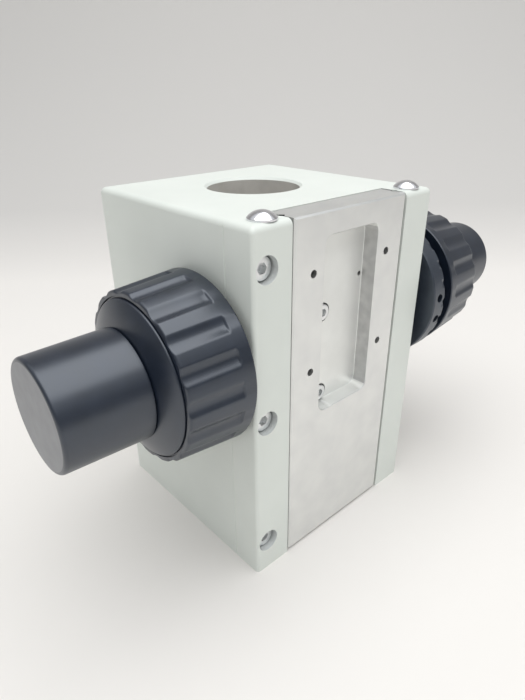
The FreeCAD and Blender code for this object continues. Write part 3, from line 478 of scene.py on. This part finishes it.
def makeGrip(side, name, node, keyHole):
    s = gripSettings
    low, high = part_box(node)
    rimX = high.x if side < 0 else low.x
    endX = rimX + side * (high.x - low.x)
    rim, end = s["rimMm"] * mm, s["endMm"] * mm
    bandX = rimX + side * s["bandMm"] * mm
    wallX = bandX + side * s["endWallMm"] * mm
    seatX = endX - side * s["seatDepthMm"] * mm
    depth, cutter = s["fluteDepthMm"] * mm, s["fluteRadiusMm"] * mm
    pitch = 360 / s["flutes"]
    step = pitch / s["fluteSteps"]

    def crestAt(x):
        return rim + (end - rim) * abs(x - rimX) / abs(endX - rimX)

    def mouthAngle(x):
        # half the angle over which the round cutter meets the crest
        crest = crestAt(x)
        far = crest - depth + cutter
        return math.acos((crest ** 2 + far ** 2 - cutter ** 2) / (2 * crest * far)) / degree

    def fluted(point):
        # draws the even spokes together at a flute's mouth, and sinks what lies inside it
        x = min(point.x, bandX) if side < 0 else max(point.x, bandX)
        turned = angleOf(point) / degree - s["fluteAngle"]
        offset = (turned + pitch / 2) % pitch - pitch / 2
        mouth, even = mouthAngle(x), s["mouthSteps"] * step
        wanted = abs(offset) * mouth / even
        if abs(offset) > even:
            wanted = mouth + (abs(offset) - even) * (pitch / 2 - mouth) / (pitch / 2 - even)
        angle = (s["fluteAngle"] + turned - offset + math.copysign(wanted, offset)) * degree
        radius = radiusOf(point)
        start = (point.x - bandX) * side / (s["endWallMm"] * mm)
        if start > 0 and radius > (s["seatMm"] + s["seatWallMm"]) * mm:
            share = min(start, 1)
            far = crestAt(point.x) - depth * share * share * (3 - 2 * share) + cutter
            across = min(abs(far * math.sin(wanted * degree)), cutter)
            floor = far * math.cos(wanted * degree) - math.sqrt(cutter ** 2 - across ** 2)
            radius = softMin(radius, floor, s["mouthRoundMm"] * mm)
        return axisPoint(point.x, radius, angle)

    walls = [bandX + (wallX - bandX) * k / s["wallStations"] for k in range(s["wallStations"])]
    stations = walls + [wallX + (endX - wallX) * k / s["stations"] for k in range(s["stations"] + 1)]
    profile = [(rimX, s["boreMm"] * mm), (rimX, rim)] + [(x, crestAt(x)) for x in stations]
    profile += [(endX, s["seatMm"] * mm), (seatX, s["seatMm"] * mm), (seatX, s["boreMm"] * mm)]
    bm = bmesh.new()
    turn(bm, profile, s["flutes"] * s["fluteSteps"], s["fluteAngle"] * degree, closed=True)
    roundRing(bm, endX, end, s["endRoundMm"] * mm, s["endSegments"])
    roundRing(bm, rimX, rim, s["rimRoundMm"] * mm, s["rimSegments"])
    for vert in bm.verts:
        vert.co = fluted(vert.co)
    bmesh.ops.recalc_face_normals(bm, faces=bm.faces)
    if keyHole:
        drillRadial(bm, rimX + side * s["keyHoleInsetMm"] * mm, s["keyHoleAngle"] * degree, crestAt,
                    s["keyHoleMm"] * mm, s["keyHoleDepthMm"] * mm)
    finishPiece(name, bm, "coarse_drive", [finishes["knob_anodised"]], [node],
                sharpAngle=s["sharpAngle"])


def makeCover(side, name, node, boreMm, hubMm):
    s = coverSettings
    low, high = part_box(node)
    gripLow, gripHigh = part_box("left_coarse_knob" if side < 0 else "right_coarse_knob")
    rimX = gripHigh.x if side < 0 else gripLow.x
    gripEndX = gripLow.x if side < 0 else gripHigh.x
    endX = low.x if side < 0 else high.x
    innerX = high.x if side < 0 else low.x
    bore, hub = boreMm * mm, hubMm * mm
    cupX = rimX + side * s["cupMm"] * mm
    seatX = gripEndX - side * gripSettings["seatDepthMm"] * mm
    grooveX = gripEndX - side * s["grooveMm"] * mm
    lipX = gripEndX + side * s["lipRiseMm"] * mm
    profile = [(endX, bore), (endX, s["coneMm"] * mm), (lipX, s["rimMm"] * mm), (grooveX, s["rimMm"] * mm),
               (grooveX, s["seatMm"] * mm), (seatX, s["seatMm"] * mm), (seatX, s["spigotMm"] * mm),
               (cupX, s["spigotMm"] * mm)]
    profile += [(cupX, hub), (innerX, hub), (innerX, bore)] if hub else [(cupX, bore)]
    bm = bmesh.new()
    turn(bm, profile, s["steps"], closed=True)
    roundRing(bm, lipX, s["rimMm"] * mm, s["rimRoundMm"] * mm, s["rimSegments"])
    finishPiece(name, bm, "coarse_drive", [finishes["knob_anodised"]], [node], s["edgeMm"])


makeGrip(-1, "leftCoarseGrip", "left_coarse_knob", False)
makeGrip(1, "rightCoarseGrip", "right_coarse_knob", True)
makeCover(-1, "leftCoarseCover", "left_coarse_cover", coverSettings["leftBoreMm"], 0)
makeCover(1, "rightCoarseCover", "right_coarse_cover", coverSettings["rightBoreMm"],
          coverSettings["rightHubMm"])
print("coarse knobs fluted and covered")


# tension ring on the right

ringSettings = {"radiusMm": 27.8, "chamferMm": 0.4, "boreMm": 10.05, "recessInnerMm": 15.0,
                "recessOuterMm": 23.5, "recessDepthMm": 3.0, "scallops": 24, "scallopRadiusMm": 3.0,
                "scallopDepthMm": 0.6, "scallopLengthMm": 1.8, "scallopHalfDegrees": 3.5, "weldMm": 0.004,
                "steps": 360, "stations": 12, "edgeMm": 0.12, "holeMm": 1.6, "holeDepthMm": 5.0, "holes": 4,
                "holeAngle": 175.4, "lockAngle": 192.7, "lockHoleMm": 1.55, "lockDepthMm": 11.0}


def makeTensionRing():
    s = ringSettings
    low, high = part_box("tension_ring")
    outer, chamfer = s["radiusMm"] * mm, s["chamferMm"] * mm
    ledgeX = high.x - s["scallopLengthMm"] * mm
    startX = low.x + chamfer
    stations = [startX + (ledgeX - startX) * k / s["stations"] for k in range(s["stations"] + 1)]
    profile = [(low.x, s["boreMm"] * mm), (low.x, outer - chamfer)] + [(x, outer) for x in stations]
    profile += [(high.x - chamfer, outer), (high.x, outer - chamfer), (high.x, s["recessOuterMm"] * mm),
                (high.x - s["recessDepthMm"] * mm, s["recessOuterMm"] * mm),
                (high.x - s["recessDepthMm"] * mm, s["recessInnerMm"] * mm),
                (high.x, s["recessInnerMm"] * mm), (high.x, s["boreMm"] * mm)]
    pitch = 360 / s["scallops"]
    bm = bmesh.new()
    turn(bm, profile, s["steps"], -s["scallopHalfDegrees"] * degree, closed=True)
    far = (s["radiusMm"] - s["scallopDepthMm"] + s["scallopRadiusMm"]) * mm
    cutter = s["scallopRadiusMm"] * mm

    def offsetOf(point):
        return (angleOf(point) / degree + pitch / 2) % pitch - pitch / 2

    faces = [f for f in bm.faces if f.calc_center_median().x > ledgeX
             and radiusOf(f.calc_center_median()) > outer - 1.01 * chamfer
             and f.calc_center_median().x < high.x - 0.01 * mm
             and abs(offsetOf(f.calc_center_median())) < s["scallopHalfDegrees"]]
    sunk = bmesh.ops.extrude_face_region(bm, geom=faces)["geom"]
    bmesh.ops.delete(bm, geom=faces, context="FACES")
    for vert in [g for g in sunk if isinstance(g, bmesh.types.BMVert)]:
        off = offsetOf(vert.co) * degree
        scallop = far * math.cos(off) - math.sqrt(max(cutter ** 2 - (far * math.sin(off)) ** 2, 0))
        vert.co = axisPoint(vert.co.x, min(radiusOf(vert.co), scallop), angleOf(vert.co))
    bmesh.ops.remove_doubles(bm, verts=bm.verts, dist=s["weldMm"] * mm)
    bmesh.ops.recalc_face_normals(bm, faces=bm.faces)
    middle = (low.x + high.x) / 2
    for index in range(s["holes"]):
        angle = (s["holeAngle"] + 360 * index / s["holes"]) * degree
        drillRadial(bm, middle, angle, lambda x: outer, s["holeMm"] * mm, s["holeDepthMm"] * mm)
    drillRadial(bm, middle, s["lockAngle"] * degree, lambda x: outer, s["lockHoleMm"] * mm,
                s["lockDepthMm"] * mm)
    finishPiece("tensionRing", bm, "tension_collar", [finishes["ring_anodised"]],
                ["tension_ring"], s["edgeMm"])


makeTensionRing()
print("tension ring made")


# screws

screwSettings = {"sides": 48, "edgeRoundMm": 0.35, "edgeSegments": 3, "bevelMm": 0.06,
                 "guide": {"headMm": 4.0, "acrossMm": 3.0, "socketMm": 1.7},
                 "rack": {"headMm": 3.0, "acrossMm": 2.5, "socketMm": 1.5}}
domeSettings = {"rimMm": 0.5, "around": 64, "rings": 96, "bevelMm": 0.08}


def addCapHead(bm, top, outward, headRadius, sizes):
    # a socket head: its top face is filled between a circle and a hexagon, and both are drawn down
    s = screwSettings
    turned = Matrix.Translation(top) @ outward.to_track_quat("Z", "X").to_matrix().to_4x4()
    start = set(bm.faces)
    corner = sizes["acrossMm"] * mm / math.sqrt(3)
    circle = bmesh.ops.create_circle(bm, segments=s["sides"], radius=headRadius, matrix=turned)["verts"]
    hexagon = bmesh.ops.create_circle(bm, segments=6, radius=corner, matrix=turned)["verts"]
    outerEdges = list({e for v in circle for e in v.link_edges})
    hexEdges = list({e for v in hexagon for e in v.link_edges})
    bmesh.ops.triangle_fill(bm, edges=outerEdges + hexEdges, use_beauty=True, normal=outward)
    for loop, depth in ((outerEdges, sizes["headMm"] * mm), (hexEdges, sizes["socketMm"] * mm)):
        drawn = bmesh.ops.extrude_edge_only(bm, edges=loop)["geom"]
        moved = [g for g in drawn if isinstance(g, bmesh.types.BMVert)]
        bmesh.ops.translate(bm, verts=moved, vec=-outward * depth)
        ends = [g for g in drawn if isinstance(g, bmesh.types.BMEdge) and all(v in moved for v in g.verts)]
        bmesh.ops.edgenet_fill(bm, edges=ends)
    made = [f for f in bm.faces if f not in start]
    bmesh.ops.recalc_face_normals(bm, faces=made)
    bmesh.ops.bevel(bm, geom=outerEdges, offset=s["edgeRoundMm"] * mm, offset_type="OFFSET",
                    segments=s["edgeSegments"], profile=0.5, affect="EDGES", material=-1, clamp_overlap=True)


def makeCapScrews(name, node, body, count, sizes):
    # a row of screws in the front, spread evenly up the height of their CAD node
    low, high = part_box(node)
    radius = (high.x - low.x) / 2
    first, last = low.z + radius, high.z - radius
    bm = bmesh.new()
    for index in range(count):
        height = first + (last - first) * index / (count - 1)
        addCapHead(bm, Vector(((low.x + high.x) / 2, low.y, height)), Vector((0, -1, 0)), radius, sizes)
    finishPiece(name, bm, body, [finishes["screw_steel"]], [node], screwSettings["bevelMm"])


def makeDomes():
    # domes on the guides' tops: a cap cut from a sphere, over a short straight rim
    s = domeSettings
    low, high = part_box("guide_end_screws")
    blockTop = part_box("housing")[1].z
    radius = (high.y - low.y) / 2
    rim = s["rimMm"] * mm
    rise = high.z - blockTop - rim
    sphere = (radius ** 2 + rise ** 2) / (2 * rise)
    bm = bmesh.new()
    for x in (low.x + radius, high.x - radius):
        centre = Vector((x, (low.y + high.y) / 2, high.z - sphere))
        added = bmesh.ops.create_uvsphere(bm, u_segments=s["around"], v_segments=s["rings"], radius=sphere,
                                          matrix=Matrix.Translation(centre))["verts"]
        edges = list({e for v in added for e in v.link_edges})
        faces = list({f for v in added for f in v.link_faces})
        cut = bmesh.ops.bisect_plane(bm, geom=added + edges + faces, plane_co=(x, 0, blockTop + rim),
                                     plane_no=(0, 0, 1), clear_inner=True)["geom_cut"]
        border = [g for g in cut if isinstance(g, bmesh.types.BMEdge)]
        drawn = bmesh.ops.extrude_edge_only(bm, edges=border)["geom"]
        moved = [g for g in drawn if isinstance(g, bmesh.types.BMVert)]
        bmesh.ops.translate(bm, verts=moved, vec=(0, 0, -rim))
    bmesh.ops.recalc_face_normals(bm, faces=bm.faces)
    finishPiece("guideEndDomes", bm, "drive_block", [finishes["dome_chrome"]],
                ["guide_end_screws"], s["bevelMm"])


makeCapScrews("guideBarScrews", "guide_bar_screws", "drive_block", 3, screwSettings["guide"])
makeCapScrews("rackScrews", "rack_screws", "slide", 2, screwSettings["rack"])
makeDomes()
print("screws made")


# pieces whose CAD shape is right get their finish

for row in frame["record"]["subparts"]:
    obj = nodes[row["node"]]
    if obj.hide_render:
        continue
    obj.data.materials.clear()
    obj.data.materials.append(finishes[row["material_slot"]])
print("inner pieces finished")


# floor, light and camera

# the wall tone is the floor's paper with painted shade
stageSettings = {"floorHex": "#e8e5e1", "shadedWallHex": "#d1cfcc", "shadeStart": 0.1, "shadeEnd": 0.6,
                 "halfWidth": 3.2, "near": -1.2, "far": 0.9, "wallHeight": 1.5, "sweepRadius": 0.6,
                 "sweepSegments": 24, "turnDegrees": -40}
lightSettings = {"world": "#f4f6f8", "horizonStrength": 0.3, "ceilingStrength": 0.8,
                 "riseStart": 0.25, "riseEnd": 0.6,
                 "overhead": {"size": (1.4, 1.25), "energy": 10.5, "place": (-0.07, -0.25, 1.06),
                              "aim": (-0.07, -0.25, 0)}}
cameraSettings = {"placeMm": (-124.29, -142.39, 151.74), "forward": (0.5959, 0.6641, -0.4516),
                  "right": (0.7413, -0.6711, -0.0087), "focalPixels": 529.97, "frameHeight": 700, "sensor": 36,
                  "clipStart": 0.005}


def makeStage():
    # a paper sweep: floor, a wide curve and a wall
    s = stageSettings
    bm = bmesh.new()
    corners = [(s["near"], 0), (s["far"], 0), (s["far"], s["wallHeight"])]
    verts = [bm.verts.new((-s["halfWidth"], y, z)) for y, z in corners]
    edges = [bm.edges.new(pair) for pair in zip(verts, verts[1:])]
    drawn = bmesh.ops.extrude_edge_only(bm, edges=edges)["geom"]
    moved = [g for g in drawn if isinstance(g, bmesh.types.BMVert)]
    bmesh.ops.translate(bm, verts=moved, vec=(2 * s["halfWidth"], 0, 0))
    fold = [e for e in bm.edges if all(abs(v.co.y - s["far"]) < mm and abs(v.co.z) < mm for v in e.verts)]
    bmesh.ops.bevel(bm, geom=fold, offset=s["sweepRadius"], offset_type="OFFSET", segments=s["sweepSegments"],
                    profile=0.5, affect="EDGES", material=-1, clamp_overlap=True)
    bmesh.ops.recalc_face_normals(bm, faces=bm.faces)
    for face in bm.faces:
        face.smooth = True
    mesh = bpy.data.meshes.new("paperSweep")
    bm.to_mesh(mesh)
    bm.free()
    # matt studio paper with painted shade: the wall is painted darker than the floor, fading up from it, for
    # the sweep's shading
    material, tree, shader, place = newFinish("mattPaperPaintedShade", {"Roughness": 0.9})
    depth = addNode(tree, "ShaderNodeSeparateXYZ", links={"Vector": place}).outputs["Y"]
    wallShade = addNode(tree, "ShaderNodeMapRange", {"From Min": s["shadeStart"], "From Max": s["shadeEnd"]},
                   {"Value": depth}).outputs["Result"]
    tree.links.new(blend(tree, wallShade, s["floorHex"], s["shadedWallHex"]), shader.inputs["Base Color"])
    mesh.materials.append(material)
    sweep = bpy.data.objects.new("paperSweep", mesh)
    bpy.context.scene.collection.objects.link(sweep)
    sweep.rotation_euler.z = s["turnDegrees"] * degree


def addAreaLight(name, s):
    light = bpy.data.lights.new(name, "AREA")
    light.shape = "RECTANGLE"
    light.size, light.size_y = s["size"]
    light.energy = s["energy"]
    obj = bpy.data.objects.new(name, light)
    obj.location = s["place"]
    obj.rotation_euler = (Vector(s["aim"]) - Vector(s["place"])).to_track_quat("-Z", "Y").to_euler()
    bpy.context.scene.collection.objects.link(obj)


def makeLight():
    # a room that is dim at the horizon and bright at the ceiling
    s = lightSettings
    world = bpy.data.worlds.new("softRoom")
    world.use_nodes = True
    tree = world.node_tree
    background = tree.nodes["Background"]
    background.inputs["Color"].default_value = toLinear(s["world"])
    direction = addNode(tree, "ShaderNodeTexCoord").outputs["Generated"]
    height = addNode(tree, "ShaderNodeSeparateXYZ", links={"Vector": direction}).outputs["Z"]
    rise = {"interpolation_type": "SMOOTHSTEP", "From Min": s["riseStart"], "From Max": s["riseEnd"],
            "To Min": s["horizonStrength"], "To Max": s["ceilingStrength"]}
    strength = addNode(tree, "ShaderNodeMapRange", rise, {"Value": height})
    tree.links.new(strength.outputs["Result"], background.inputs["Strength"])
    bpy.context.scene.world = world
    addAreaLight("overhead", s["overhead"])


def makeCamera():
    s = cameraSettings
    camera = bpy.data.cameras.new("camera")
    camera.sensor_width = s["sensor"]
    camera.lens = s["focalPixels"] * s["sensor"] / s["frameHeight"]
    camera.clip_start = s["clipStart"]
    forward = Vector(s["forward"]).normalized()
    right = Vector(s["right"]).normalized()
    up = right.cross(forward).normalized()
    obj = bpy.data.objects.new("camera", camera)
    matrix = Matrix((right, up, -forward)).transposed().to_4x4()
    matrix.translation = Vector(s["placeMm"]) * mm
    obj.matrix_world = matrix
    bpy.context.scene.collection.objects.link(obj)
    bpy.context.scene.camera = obj


makeStage()
makeLight()
makeCamera()
bpy.context.scene.view_settings.view_transform = "Standard"
print("stage, light and camera set")
